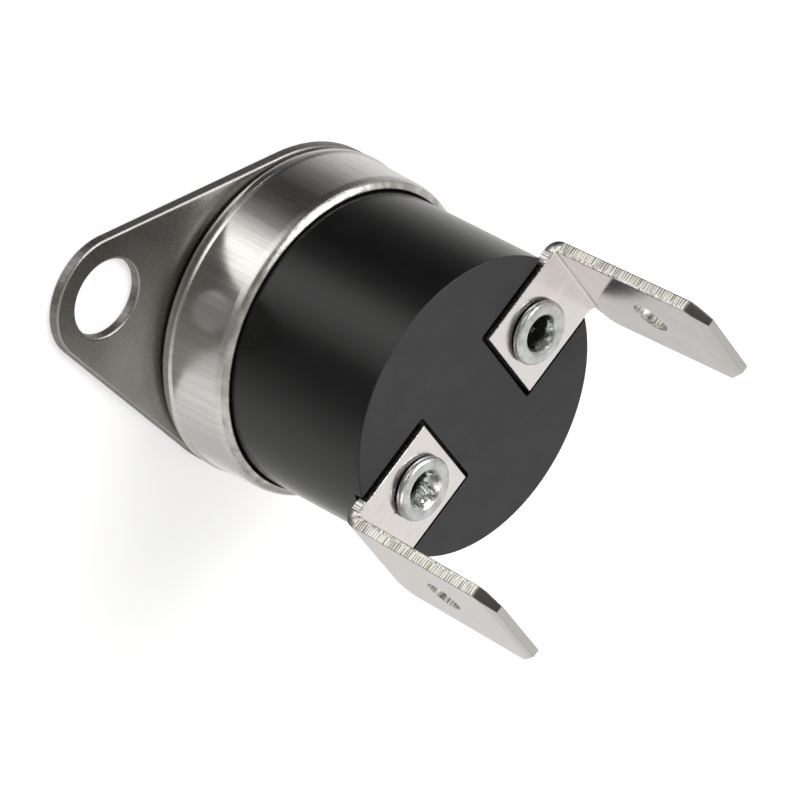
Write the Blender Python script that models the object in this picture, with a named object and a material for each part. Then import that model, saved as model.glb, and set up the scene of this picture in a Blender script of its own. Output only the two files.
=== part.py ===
"""Snap-action bimetal thermostat with a flanged bracket and two quick-connect tabs.

The frame is in metres with +Z up. The origin is the centre of the mounting face, and +Z runs along the
axis of the body towards the terminals. The two ears of the bracket lie along X.

A dished bimetal disc lies on a ledge in a drawn steel cup. When it snaps over, it lifts a ceramic pin,
which lifts a spring arm off the fixed contact. The pin runs in a guide plate under a moulded housing,
the cup is crimped over the housing's shoulder, and two rivets hold the terminals and the contact parts.
"""

import math

import bmesh
import bpy
from mathutils import Matrix, Vector

MM = 0.001

# Fits between pieces
SEAT_GAP = 0.05 * MM
LOOSE_GAP = 0.10 * MM
CONTACT_GAP = 0.40 * MM

# Mounting bracket
BRACKET_THICKNESS = 0.50 * MM
EAR_HOLE_SPACING = 25.40 * MM
EAR_RADIUS = 3.25 * MM
EAR_HOLE_RADIUS = 2.00 * MM

# Disc cup, drawn from sheet, whose rim is crimped over the housing
CUP_SHEET = 0.35 * MM
CUP_CORNER_RADIUS = 0.55 * MM
LEDGE_WIDTH = 2.20 * MM
CRIMP_BEND_RADIUS = 0.15 * MM
CRIMP_LIP = 0.25 * MM
CRIMP_ANGLE = math.radians(60)

# Bimetal disc and the way that its middle jumps
DISC_SEAT = 0.40 * MM
DISC_THICKNESS = 0.20 * MM
DISC_DISH = 0.25 * MM
SNAP_TRAVEL = 0.40 * MM

# Pin guide and transfer pin
GUIDE_THICKNESS = 0.80 * MM
GUIDE_RIM_GAP = 0.25 * MM
GUIDE_BOSS_WALL = 1.05 * MM
GUIDE_BOSS_HEIGHT = 2.45 * MM
PIN_RADIUS = 0.75 * MM
PIN_END_RADIUS = 0.30 * MM

# Moulded housing
HOUSING_HEIGHT = 11.20 * MM
HOUSING_WALL = 1.26 * MM
SHOULDER_STEP = 0.29 * MM
SHOULDER_HEIGHT = 1.97 * MM
SHOULDER_CHAMFER = 0.25 * MM
END_WALL = 2.90 * MM
FACE_EDGE_RADIUS = 0.08 * MM
BOSS_WALL = 0.55 * MM
BOSS_HEIGHT = 1.50 * MM
RECESS_DEPTH = 0.51 * MM
RECESS_SIDE_GAP = 0.32 * MM
RECESS_END_GAP = 0.24 * MM

# Terminals
TERMINAL_AZIMUTH = math.radians(59)
TERMINAL_THICKNESS = 0.63 * MM
FOOT_REACH = 2.13 * MM
FOOT_WIDTH = 4.95 * MM
TAB_STANDOFF = 0.24 * MM
TAB_WIDTH = 6.35 * MM
TAB_LENGTH = 9.40 * MM
TAB_LEAN = math.radians(1.2)
TAB_BEND_RADIUS = 0.30 * MM
NECK_FILLET = 0.50 * MM
SHOULDER_LEAD = 0.25 * MM
TAB_HOLE_RADIUS = 0.96 * MM
TAB_HOLE_FROM_TIP = 4.85 * MM
TIP_CHAMFER_LENGTH = 1.15 * MM
TIP_FLUSH_CHAMFER = 0.80 * MM
TIP_FAR_CHAMFER = 1.15 * MM
TIP_COIN_LENGTH = 0.75 * MM
TIP_THICKNESS = 0.44 * MM

# Rivets and their washers
RIVET_RADIUS = 1.20 * MM
RIVET_BORE_RADIUS = 0.80 * MM
RIVET_BORE_DEPTH = 2.40 * MM
RIVET_MOUTH_RADIUS = 1.00 * MM
RIVET_ROLL_RADIUS = 1.72 * MM
RIVET_ROLL_HEIGHT = 0.42 * MM
RIVET_HEAD_RADIUS = 1.60 * MM
RIVET_HEAD_THICKNESS = 0.50 * MM
RIVET_WALL_GAP = 0.15 * MM
WASHER_THICKNESS = 0.30 * MM

# Contact arm, contacts and fixed contact plate
ARM_THICKNESS = 0.20 * MM
ARM_SWING_GAP = 0.20 * MM
ARM_TIP_MARGIN = 0.15 * MM
ARM_WINDOW_LENGTH = 1.60 * MM
ARM_WINDOW_WIDTH = 0.90 * MM
CONTACT_RADIUS = 0.80 * MM
CONTACT_HEAD = 0.60 * MM
CONTACT_STEM_RADIUS = 0.40 * MM
CONTACT_UPSET_RADIUS = 0.60 * MM
CONTACT_UPSET = 0.20 * MM
PLATE_THICKNESS = 0.50 * MM
PLATE_BEND_RADIUS = 0.20 * MM
PLATE_LEG_GAP = 0.40 * MM

# Facets round a full circle
BIG_ROUND = 64
SMALL_ROUND = 24

# Radii and distances from the axis, worked outwards from the pin, so that each piece leaves room for the next
PIN_BORE_RADIUS = PIN_RADIUS + LOOSE_GAP
GUIDE_BOSS_RADIUS = PIN_BORE_RADIUS + GUIDE_BOSS_WALL
ARM_TIP_RADIUS = CONTACT_RADIUS + ARM_TIP_MARGIN
STEM_HOLE_RADIUS = CONTACT_STEM_RADIUS + SEAT_GAP
RIVET_HOLE_RADIUS = RIVET_RADIUS + SEAT_GAP
ARM_HOLE_RADIUS = RIVET_RADIUS + LOOSE_GAP
BOSS_RADIUS = RIVET_HOLE_RADIUS + BOSS_WALL
CONTACT_REACH = PIN_RADIUS + CONTACT_GAP + CONTACT_RADIUS
RIVET_PITCH_RADIUS = CONTACT_REACH + ARM_TIP_RADIUS + SEAT_GAP + BOSS_RADIUS
PLATE_LEG_PLANE = RIVET_HEAD_RADIUS + PLATE_LEG_GAP
CAVITY_RADIUS = RIVET_PITCH_RADIUS + RIVET_HEAD_RADIUS + RIVET_WALL_GAP
NECK_RADIUS = CAVITY_RADIUS + HOUSING_WALL
SHOULDER_RADIUS = NECK_RADIUS + SHOULDER_STEP
CUP_INNER_RADIUS = SHOULDER_RADIUS + LOOSE_GAP
CUP_RADIUS = CUP_INNER_RADIUS + CUP_SHEET
PAD_RADIUS = CUP_RADIUS - LEDGE_WIDTH
PAD_INNER_RADIUS = PAD_RADIUS - CUP_SHEET
DISC_RADIUS = PAD_INNER_RADIUS + DISC_SEAT
FOOT_START = RIVET_PITCH_RADIUS - FOOT_REACH
TAB_PLANE = NECK_RADIUS + TAB_STANDOFF

# Heights of the stack, from the mounting face up
LEDGE_UNDERSIDE_Z = BRACKET_THICKNESS + SEAT_GAP
LEDGE_Z = LEDGE_UNDERSIDE_Z + CUP_SHEET
DISC_RIM_Z = LEDGE_Z + SEAT_GAP
GUIDE_UNDERSIDE_Z = DISC_RIM_Z + DISC_THICKNESS + SNAP_TRAVEL + LOOSE_GAP
GUIDE_TOP_Z = GUIDE_UNDERSIDE_Z + GUIDE_THICKNESS
HOUSING_Z = GUIDE_TOP_Z + SEAT_GAP
FACE_Z = HOUSING_Z + HOUSING_HEIGHT
CEILING_Z = FACE_Z - END_WALL
BOSS_Z = CEILING_Z - BOSS_HEIGHT
FOOT_TOP_Z = FACE_Z - RECESS_DEPTH + SEAT_GAP + TERMINAL_THICKNESS
ARM_Z = BOSS_Z - ARM_SWING_GAP - ARM_THICKNESS
PLATE_FOOT_Z = BOSS_Z - SEAT_GAP - PLATE_THICKNESS
CONTACTS_MEET_Z = ARM_Z - SEAT_GAP - CONTACT_HEAD
SHELF_TOP_Z = CONTACTS_MEET_Z - SEAT_GAP - CONTACT_HEAD - SEAT_GAP


def clear_scene():
    """Remove whatever the scene holds."""
    for obj in list(bpy.data.objects):
        bpy.data.objects.remove(obj, do_unlink=True)


def make_material(name, colour, roughness, metallic):
    """A Principled material; colour is linear RGB."""
    material = bpy.data.materials.new(name)
    material.use_nodes = True
    shader = material.node_tree.nodes["Principled BSDF"]
    shader.inputs["Base Color"].default_value = (*colour, 1.0)
    shader.inputs["Roughness"].default_value = roughness
    shader.inputs["Metallic"].default_value = metallic
    return material


def add_object(name, bm, material):
    """Link the bmesh as an object whose faces point outwards, round faces smooth and corners sharp."""
    bmesh.ops.recalc_face_normals(bm, faces=bm.faces)
    mesh = bpy.data.meshes.new(name)
    bm.to_mesh(mesh)
    bm.free()
    mesh.shade_smooth()
    mesh.set_sharp_from_angle(angle=math.radians(35))
    obj = bpy.data.objects.new(name, mesh)
    bpy.context.scene.collection.objects.link(obj)
    if material:
        mesh.materials.append(material)
    return obj


def arc(centre, radius, start_deg, end_deg, steps):
    """Points along an arc in a plane, both ends included."""
    points = []
    for i in range(steps + 1):
        angle = math.radians(start_deg + (end_deg - start_deg) * i / steps)
        points.append((centre[0] + radius * math.cos(angle), centre[1] + radius * math.sin(angle)))
    return points


def turned(name, profile, material, facets=SMALL_ROUND, centre=(0.0, 0.0)):
    """Spin a closed profile of (radius, height) points about a vertical axis through centre."""
    bm = bmesh.new()
    verts = [bm.verts.new((centre[0] + r, centre[1], z)) for r, z in profile]
    edges = []
    for i, vert in enumerate(verts):
        following = verts[(i + 1) % len(verts)]
        on_axis = profile[i][0] == 0.0 and profile[(i + 1) % len(verts)][0] == 0.0
        if not on_axis:
            edges.append(bm.edges.new((vert, following)))
    bmesh.ops.spin(
        bm,
        geom=verts + edges,
        cent=(*centre, 0.0),
        axis=(0.0, 0.0, 1.0),
        angle=2 * math.pi,
        steps=facets,
        use_merge=True,
    )
    bmesh.ops.remove_doubles(bm, verts=bm.verts, dist=1e-7)
    return add_object(name, bm, material)


def slab(name, outline, low, high, material):
    """Extrude a closed outline of (x, y) points from one height to another."""
    bm = bmesh.new()
    face = bm.faces.new([bm.verts.new((x, y, low)) for x, y in outline])
    grown = bmesh.ops.extrude_face_region(bm, geom=[face])
    top = [item for item in grown["geom"] if isinstance(item, bmesh.types.BMVert)]
    bmesh.ops.translate(bm, verts=top, vec=(0.0, 0.0, high - low))
    return add_object(name, bm, material)


def as_cutter(obj):
    """A helper body that only shapes others."""
    obj.hide_render = True
    obj.display_type = "WIRE"
    return obj


def combine(obj, operation, helper):
    """Add an exact Boolean with a helper body."""
    modifier = obj.modifiers.new(helper.name, "BOOLEAN")
    modifier.operation = operation
    modifier.solver = "EXACT"
    modifier.object = helper
    as_cutter(helper)


def drill(obj, name, radius, low, high, centre, facets=SMALL_ROUND):
    """Cut a round hole along Z."""
    profile = [(0.0, low), (radius, low), (radius, high), (0.0, high)]
    combine(obj, "DIFFERENCE", turned(name, profile, None, facets, centre))


def along(distance, across=0.0):
    """The (x, y) of a point on the terminals' line, at a distance from the axis and across that line."""
    direction = Vector((math.cos(TERMINAL_AZIMUTH), math.sin(TERMINAL_AZIMUTH)))
    side = Vector((-direction.y, direction.x))
    point = distance * direction + across * side
    return (point.x, point.y)


def hull_outline(big_radius, small_radius, distance, both_ends, steps):
    """The outline of a round plate drawn out to one or two round ends, along X from the origin."""
    slope = math.degrees(math.acos((big_radius - small_radius) / distance))
    ends = arc((distance, 0.0), small_radius, -slope, slope, steps)
    if both_ends:
        ends += arc((0.0, 0.0), big_radius, slope, 180 - slope, steps)
        ends += arc((-distance, 0.0), small_radius, 180 - slope, 180 + slope, steps)
        ends += arc((0.0, 0.0), big_radius, 180 + slope, 360 - slope, steps)
    else:
        ends += arc((0.0, 0.0), big_radius, slope, 360 - slope, 2 * steps)
    return ends


def build_bracket(material):
    """The stamped plate with two ears; the cup's pad shows through its round window."""
    ear_x = EAR_HOLE_SPACING / 2
    outline = hull_outline(CUP_RADIUS, EAR_RADIUS, ear_x, True, SMALL_ROUND // 2)
    plate = slab("mounting_bracket", outline, 0.0, BRACKET_THICKNESS, material)
    low, high = -BRACKET_THICKNESS, 2 * BRACKET_THICKNESS
    drill(plate, "window_cutter", PAD_RADIUS + LOOSE_GAP, low, high, (0.0, 0.0), BIG_ROUND)
    drill(plate, "left_ear_cutter", EAR_HOLE_RADIUS, low, high, (-ear_x, 0.0), 2 * SMALL_ROUND)
    drill(plate, "right_ear_cutter", EAR_HOLE_RADIUS, low, high, (ear_x, 0.0), 2 * SMALL_ROUND)
    return plate


def crimp_start_z():
    """The height at which the cup's straight wall ends and its rim starts to curl over the shoulder."""
    return HOUSING_Z + SHOULDER_HEIGHT + SEAT_GAP


def cup_profile():
    """The cup's section: sensing pad, ledge, rounded corner, wall and curled rim."""
    corner_in = CUP_CORNER_RADIUS - CUP_SHEET
    corner_r = CUP_RADIUS - CUP_CORNER_RADIUS
    corner_z = LEDGE_UNDERSIDE_Z + CUP_CORNER_RADIUS
    bend_out = CRIMP_BEND_RADIUS + CUP_SHEET
    bend_r = CUP_RADIUS - bend_out
    bend_z = crimp_start_z()
    turn = math.degrees(CRIMP_ANGLE)
    lip = Vector((-math.sin(CRIMP_ANGLE), math.cos(CRIMP_ANGLE))) * CRIMP_LIP
    outer = [(0.0, 0.0), (PAD_RADIUS, 0.0), (PAD_RADIUS, LEDGE_UNDERSIDE_Z)]
    outer += arc((corner_r, corner_z), CUP_CORNER_RADIUS, -90, 0, 5)
    outer += arc((bend_r, bend_z), bend_out, 0, turn, 4)
    outer.append((outer[-1][0] + lip.x, outer[-1][1] + lip.y))
    inner = arc((bend_r, bend_z), CRIMP_BEND_RADIUS, turn, 0, 3)
    inner.insert(0, (inner[0][0] + lip.x, inner[0][1] + lip.y))
    inner += arc((corner_r, corner_z), corner_in, 0, -90, 3)
    inner += [(PAD_INNER_RADIUS, LEDGE_Z), (PAD_INNER_RADIUS, CUP_SHEET), (0.0, CUP_SHEET)]
    return outer + inner


def disc_profile():
    """The dished disc, its middle lower than its rim."""
    steps = 6
    under = []
    for i in range(steps + 1):
        share = i / steps
        under.append((DISC_RADIUS * share, DISC_RIM_Z - DISC_DISH * (1 - share * share)))
    return under + [(r, z + DISC_THICKNESS) for r, z in reversed(under)]


def guide_profile():
    """The guide plate: a skirt that stands on the ledge round the disc, and a tall bored boss."""
    skirt_in = DISC_RADIUS + GUIDE_RIM_GAP
    skirt_out = SHOULDER_RADIUS
    skirt_z = LEDGE_Z + SEAT_GAP
    chamfer = CUP_CORNER_RADIUS - CUP_SHEET + LOOSE_GAP
    boss_z = GUIDE_TOP_Z + GUIDE_BOSS_HEIGHT
    return [
        (PIN_BORE_RADIUS, GUIDE_UNDERSIDE_Z),
        (skirt_in, GUIDE_UNDERSIDE_Z),
        (skirt_in, skirt_z),
        (skirt_out - chamfer, skirt_z),
        (skirt_out, skirt_z + chamfer),
        (skirt_out, GUIDE_TOP_Z),
        (GUIDE_BOSS_RADIUS, GUIDE_TOP_Z),
        (GUIDE_BOSS_RADIUS, boss_z),
        (PIN_BORE_RADIUS, boss_z),
    ]


def pin_profile():
    """The ceramic pin, from the disc's middle to the arm, with rounded ends."""
    low = DISC_RIM_Z - DISC_DISH + DISC_THICKNESS + SEAT_GAP
    high = ARM_Z - SEAT_GAP
    edge = PIN_END_RADIUS
    points = [(0.0, low)]
    points += arc((PIN_RADIUS - edge, low + edge), edge, -90, 0, 3)
    points += arc((PIN_RADIUS - edge, high - edge), edge, 0, 90, 3)
    points.append((0.0, high))
    return points


def housing_profile():
    """The housing's section: shoulder, neck, rounded end and the cavity under the end wall."""
    shoulder_z = HOUSING_Z + SHOULDER_HEIGHT
    edge = FACE_EDGE_RADIUS
    points = [(CAVITY_RADIUS, HOUSING_Z), (SHOULDER_RADIUS, HOUSING_Z), (SHOULDER_RADIUS, shoulder_z)]
    points.append((NECK_RADIUS, shoulder_z + SHOULDER_CHAMFER))
    points += arc((NECK_RADIUS - edge, FACE_Z - edge), edge, 0, 90, 4)
    points += [(0.0, FACE_Z), (0.0, CEILING_Z), (CAVITY_RADIUS, CEILING_Z)]
    return points


def recess_cutter(name, sign):
    """The keyed recess in the end face that a terminal's foot lies in, open at the body's edge."""
    half = FOOT_WIDTH / 2 + RECESS_SIDE_GAP
    start = FOOT_START - RECESS_END_GAP
    end = NECK_RADIUS + FOOT_WIDTH
    corners = [(start, -half), (end, -half), (end, half), (start, half)]
    outline = [along(sign * distance, sign * across) for distance, across in corners]
    return slab(name, outline, FACE_Z - RECESS_DEPTH, FACE_Z + END_WALL, None)


def build_housing(material):
    """The moulded body, with a hanging boss round each rivet hole and a recess for each foot."""
    housing = turned("housing", housing_profile(), material, BIG_ROUND)
    for name, sign in (("arm", 1), ("plate", -1)):
        centre = along(sign * RIVET_PITCH_RADIUS)
        profile = [(0.0, BOSS_Z), (BOSS_RADIUS, BOSS_Z), (BOSS_RADIUS, CEILING_Z + SEAT_GAP)]
        profile.append((0.0, CEILING_Z + SEAT_GAP))
        combine(housing, "UNION", turned(name + "_boss", profile, None, SMALL_ROUND, centre))
        combine(housing, "DIFFERENCE", recess_cutter(name + "_recess", sign))
        drill(
            housing, name + "_rivet_hole", RIVET_HOLE_RADIUS, BOSS_Z - END_WALL, FACE_Z + END_WALL, centre
        )
    return housing


def terminal_blank():
    """The flat outline of a terminal as (length, across) points, the flush side at +across."""
    flush = FOOT_WIDTH / 2
    far = flush - TAB_WIDTH
    bend_at = TAB_PLANE - TAB_BEND_RADIUS - FOOT_START
    bend_length = TAB_BEND_RADIUS * (math.pi / 2 - TAB_LEAN)
    tip = bend_at + bend_length + TAB_LENGTH - TAB_BEND_RADIUS
    neck_end = bend_at - SHOULDER_LEAD
    shoulder = TAB_WIDTH - FOOT_WIDTH - NECK_FILLET
    middle = -flush - NECK_FILLET
    blank = [(0.0, -flush)]
    blank += arc((neck_end, middle), NECK_FILLET, 90, 0, 4)
    blank += arc((neck_end + NECK_FILLET + shoulder, middle), shoulder, 180, 270, 6)[1:]
    blank += [(tip - TIP_CHAMFER_LENGTH, far), (tip, far + TIP_FAR_CHAMFER)]
    blank.append((tip, flush - TIP_FLUSH_CHAMFER))
    blank += [(tip - TIP_CHAMFER_LENGTH, flush), (0.0, flush)]
    return blank, bend_at, bend_length, tip


def bent_point(length, height, bend_at, bend_length):
    """Where a point of the flat blank goes when the tab is bent up: (distance, z)."""
    if length <= bend_at:
        return FOOT_START + length, FOOT_TOP_Z - TERMINAL_THICKNESS + height
    radius = TAB_BEND_RADIUS + TERMINAL_THICKNESS - height
    angle = min(length - bend_at, bend_length) / TAB_BEND_RADIUS
    run = max(length - bend_at - bend_length, 0.0)
    distance = FOOT_START + bend_at + radius * math.sin(angle) + run * math.cos(angle)
    z = FOOT_TOP_Z + TAB_BEND_RADIUS - radius * math.cos(angle) + run * math.sin(angle)
    return distance, z


def build_terminal(name, sign, material):
    """A foot under its rivet and a tab bent up at the body's edge; the two terminals are mirror images."""
    blank, bend_at, bend_length, tip = terminal_blank()
    bm = bmesh.new()
    face = bm.faces.new([bm.verts.new((length, across, 0.0)) for length, across in blank])
    grown = bmesh.ops.extrude_face_region(bm, geom=[face])
    top = [item for item in grown["geom"] if isinstance(item, bmesh.types.BMVert)]
    bmesh.ops.translate(bm, verts=top, vec=(0.0, 0.0, TERMINAL_THICKNESS))
    bends = 6
    cuts = [bend_at + bend_length * i / bends for i in range(bends + 1)]
    cuts.append(tip - TIP_COIN_LENGTH)
    for cut in cuts:
        geometry = list(bm.verts) + list(bm.edges) + list(bm.faces)
        bmesh.ops.bisect_plane(bm, geom=geometry, plane_co=(cut, 0.0, 0.0), plane_no=(1.0, 0.0, 0.0))
    middle = TERMINAL_THICKNESS / 2
    for vert in bm.verts:
        length, across, height = vert.co
        coined = max(length - (tip - TIP_COIN_LENGTH), 0.0) / TIP_COIN_LENGTH
        thinned = 1 + (TIP_THICKNESS / TERMINAL_THICKNESS - 1) * coined
        height = middle + (height - middle) * thinned
        distance, z = bent_point(length, height, bend_at, bend_length)
        vert.co = (*along(sign * distance, across), z)
    terminal = add_object(name, bm, material)

    rivet_at = along(sign * RIVET_PITCH_RADIUS)
    drill(terminal, name + "_foot_hole", RIVET_HOLE_RADIUS, FACE_Z - END_WALL, FACE_Z + END_WALL, rivet_at)
    across = (FOOT_WIDTH - TAB_WIDTH) / 2
    out = TAB_WIDTH
    profile = [(0.0, -out), (TAB_HOLE_RADIUS, -out), (TAB_HOLE_RADIUS, out), (0.0, out)]
    cutter = turned(name + "_tab_hole", profile, None)
    run = TAB_LENGTH - TAB_HOLE_FROM_TIP
    centre = (*along(sign * (TAB_PLANE + run * math.sin(TAB_LEAN)), across), FOOT_TOP_Z + run)
    outward = Vector((*along(sign * math.cos(TAB_LEAN)), -math.sin(TAB_LEAN)))
    turn = outward.to_track_quat("Z", "Y").to_matrix().to_4x4()
    cutter.data.transform(Matrix.Translation(centre) @ turn)
    combine(terminal, "DIFFERENCE", cutter)
    return terminal


def rivet_profile(head_top_z):
    """A semi-tubular rivet: flat head inside, shank, and the hollow end rolled over the terminal's foot."""
    seat_z = FOOT_TOP_Z + SEAT_GAP
    top_z = seat_z + RIVET_ROLL_HEIGHT
    lip = RIVET_ROLL_HEIGHT / 2
    ring = (RIVET_ROLL_RADIUS - lip, seat_z + lip)
    bore_top = seat_z - lip
    bore_end = top_z - RIVET_BORE_DEPTH
    low_z = head_top_z - RIVET_HEAD_THICKNESS
    points = [(0.0, low_z), (RIVET_HEAD_RADIUS, low_z), (RIVET_HEAD_RADIUS, head_top_z)]
    points += [(RIVET_RADIUS, head_top_z), (RIVET_RADIUS, seat_z)]
    points += arc(ring, lip, -90, 90, 5)
    points += [(RIVET_MOUTH_RADIUS, top_z - lip / 3), (RIVET_BORE_RADIUS, bore_top)]
    points += [(RIVET_BORE_RADIUS, bore_end), (0.0, bore_end - RIVET_BORE_RADIUS / 2)]
    return points


def washer_profile(top_z):
    """A flat ring that spreads the load of a rivet's inner head."""
    low_z = top_z - WASHER_THICKNESS
    return [
        (RIVET_HOLE_RADIUS, low_z),
        (RIVET_HEAD_RADIUS, low_z),
        (RIVET_HEAD_RADIUS, top_z),
        (RIVET_HOLE_RADIUS, top_z),
    ]


def contact_profile(face_z, up):
    """A rivet contact: a flat head whose face is at face_z, a stem through the strip, and its upset."""
    strip = ARM_THICKNESS if up > 0 else PLATE_THICKNESS
    back = CONTACT_HEAD
    upset = back + strip + 2 * SEAT_GAP
    end = upset + CONTACT_UPSET
    edge = CONTACT_UPSET / 2
    section = [(0.0, 0.0), (CONTACT_RADIUS - edge, 0.0), (CONTACT_RADIUS, edge), (CONTACT_RADIUS, back)]
    section += [(CONTACT_STEM_RADIUS, back), (CONTACT_STEM_RADIUS, upset), (CONTACT_UPSET_RADIUS, upset)]
    section += [(CONTACT_UPSET_RADIUS, end - edge), (CONTACT_UPSET_RADIUS - edge, end), (0.0, end)]
    return [(radius, face_z + up * height) for radius, height in section]


def build_arm(material):
    """The spring arm: a tapered strip from the arm rivet over the pin to the moving contact."""
    reach = RIVET_PITCH_RADIUS + CONTACT_REACH
    outline = hull_outline(RIVET_HEAD_RADIUS, ARM_TIP_RADIUS, reach, False, SMALL_ROUND // 3)
    outline = [along(RIVET_PITCH_RADIUS - x, y) for x, y in outline]
    arm = slab("contact_arm", outline, ARM_Z, ARM_Z + ARM_THICKNESS, material)
    low, high = ARM_Z - CONTACT_HEAD, ARM_Z + CONTACT_HEAD
    drill(arm, "arm_root_hole", ARM_HOLE_RADIUS, low, high, along(RIVET_PITCH_RADIUS))
    drill(arm, "arm_stem_hole", STEM_HOLE_RADIUS, low, high, along(-CONTACT_REACH))
    middle = (RIVET_PITCH_RADIUS - ARM_HOLE_RADIUS + PIN_RADIUS) / 2
    half_width = ARM_WINDOW_WIDTH / 2
    straight = ARM_WINDOW_LENGTH / 2 - half_width
    window = arc((middle + straight, 0.0), half_width, -90, 90, 6)
    window += arc((middle - straight, 0.0), half_width, 90, 270, 6)
    combine(arm, "DIFFERENCE", slab("arm_window", [along(x, y) for x, y in window], low, high, None))
    return arm


def channel_section():
    """The fixed contact plate's section as (across, height): foot on top, leg at the side, shelf below."""
    inner, thick = PLATE_BEND_RADIUS, PLATE_THICKNESS
    outer = inner + thick
    foot_edge = -RIVET_HEAD_RADIUS
    shelf_edge = -ARM_TIP_RADIUS
    leg = PLATE_LEG_PLANE
    upper = (leg - inner, PLATE_FOOT_Z - inner)
    lower = (leg - inner, SHELF_TOP_Z + inner)
    points = [(foot_edge, PLATE_FOOT_Z), (foot_edge, PLATE_FOOT_Z + thick)]
    points += arc(upper, outer, 90, 0, 5)
    points += arc(lower, outer, 0, -90, 5)
    points += [(shelf_edge, SHELF_TOP_Z - thick), (shelf_edge, SHELF_TOP_Z)]
    points += arc(lower, inner, -90, 0, 3)
    points += arc(upper, inner, 0, 90, 3)
    return points


def build_fixed_plate(material):
    """A folded strip: riveted foot, side leg and the shelf that carries the fixed contact."""
    inner_end = -(CONTACT_REACH - ARM_TIP_RADIUS)
    bm = bmesh.new()
    section = [bm.verts.new((*along(-CAVITY_RADIUS, across), z)) for across, z in channel_section()]
    grown = bmesh.ops.extrude_face_region(bm, geom=[bm.faces.new(section)])
    moved = [item for item in grown["geom"] if isinstance(item, bmesh.types.BMVert)]
    bmesh.ops.translate(bm, verts=moved, vec=(*along(CAVITY_RADIUS + inner_end), 0.0))
    plate = add_object("fixed_contact_plate", bm, material)

    round_end = [(0.0, HOUSING_Z), (CAVITY_RADIUS - 2 * LOOSE_GAP, HOUSING_Z)]
    round_end += [(CAVITY_RADIUS - 2 * LOOSE_GAP, FACE_Z), (0.0, FACE_Z)]
    combine(plate, "INTERSECT", turned("plate_end_trim", round_end, None, BIG_ROUND))
    foot_end = RIVET_HEAD_RADIUS - RIVET_PITCH_RADIUS
    shelf_start = foot_end + ARM_SWING_GAP
    reach = CAVITY_RADIUS
    leg_side = PLATE_LEG_PLANE - PLATE_BEND_RADIUS
    over_arm = [along(foot_end, -reach), along(reach, -reach), along(reach, reach), along(foot_end, reach)]
    cut_z = PLATE_FOOT_Z - PLATE_BEND_RADIUS - PLATE_THICKNESS
    combine(plate, "DIFFERENCE", slab("plate_arm_clearance", over_arm, cut_z, FACE_Z, None))
    under_foot = [
        along(shelf_start, -reach),
        along(shelf_start, leg_side),
        along(-2 * reach, leg_side),
        along(-2 * reach, -reach),
    ]
    cut_top = PLATE_FOOT_Z - PLATE_BEND_RADIUS
    combine(plate, "DIFFERENCE", slab("plate_head_clearance", under_foot, HOUSING_Z, cut_top, None))
    low, high = SHELF_TOP_Z - END_WALL, SHELF_TOP_Z + SEAT_GAP
    drill(plate, "plate_stem_hole", STEM_HOLE_RADIUS, low, high, along(-CONTACT_REACH))
    low, high = PLATE_FOOT_Z - PLATE_BEND_RADIUS, FACE_Z
    drill(plate, "plate_root_hole", RIVET_HOLE_RADIUS, low, high, along(-RIVET_PITCH_RADIUS))
    return plate


def build_rivets_and_washers(rivet_metal, brass):
    """One rivet and one washer under each end of the contact mechanism."""
    stacks = {"arm": (1, ARM_Z - ARM_SWING_GAP), "plate": (-1, PLATE_FOOT_Z - SEAT_GAP)}
    for name, (sign, washer_top) in stacks.items():
        centre = along(sign * RIVET_PITCH_RADIUS)
        head_top = washer_top - WASHER_THICKNESS - SEAT_GAP
        turned(name + "_rivet", rivet_profile(head_top), rivet_metal, SMALL_ROUND, centre)
        turned(name + "_washer", washer_profile(washer_top), brass, SMALL_ROUND, centre)


def build_contacts(silver):
    """The moving contact under the arm's tip and the fixed contact that it closes on."""
    centre = along(-CONTACT_REACH)
    turned("moving_contact", contact_profile(CONTACTS_MEET_Z, 1), silver, SMALL_ROUND, centre)
    turned("fixed_contact", contact_profile(CONTACTS_MEET_Z - SEAT_GAP, -1), silver, SMALL_ROUND, centre)


def main():
    clear_scene()
    plate_steel = make_material("bracket steel", (0.16, 0.155, 0.15), 0.42, 1.0)
    cup_steel = make_material("cup steel", (0.55, 0.55, 0.53), 0.25, 1.0)
    phenolic = make_material("black phenolic", (0.022, 0.022, 0.023), 0.45, 0.0)
    tinned = make_material("tinned brass", (0.66, 0.64, 0.62), 0.3, 1.0)
    rivet_metal = make_material("plated rivet steel", (0.42, 0.43, 0.43), 0.3, 1.0)
    bimetal = make_material("bimetal", (0.38, 0.35, 0.31), 0.4, 1.0)
    fibre = make_material("brown phenolic", (0.12, 0.05, 0.02), 0.6, 0.0)
    ceramic = make_material("white ceramic", (0.78, 0.76, 0.70), 0.5, 0.0)
    spring = make_material("spring copper", (0.66, 0.38, 0.20), 0.35, 1.0)
    silver = make_material("contact silver", (0.80, 0.79, 0.76), 0.3, 1.0)
    brass = make_material("brass", (0.62, 0.47, 0.20), 0.35, 1.0)

    build_bracket(plate_steel)
    turned("disc_cup", cup_profile(), cup_steel, BIG_ROUND)
    turned("bimetal_disc", disc_profile(), bimetal, BIG_ROUND)
    turned("pin_guide", guide_profile(), fibre, BIG_ROUND)
    turned("transfer_pin", pin_profile(), ceramic)
    build_housing(phenolic)
    build_terminal("arm_terminal", 1, tinned)
    build_terminal("plate_terminal", -1, tinned)
    build_rivets_and_washers(rivet_metal, brass)
    build_arm(spring)
    build_fixed_plate(brass)
    build_contacts(silver)


main()
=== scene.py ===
# %% [markdown]
# # A disc thermostat, dressed for a close look
# The real object is a small temperature switch. A black moulded body sits in a bright drawn cup whose rim is
# crimped over it, a stamped plate with two ears holds the cup down, and two plated tabs are riveted to the
# end face. The CAD model gives the exact shapes and places. This script lays finer pieces over it, with the
# rounded sheared edges, rolled rims and metal finishes that a close photograph shows.

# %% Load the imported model
import math

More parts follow.
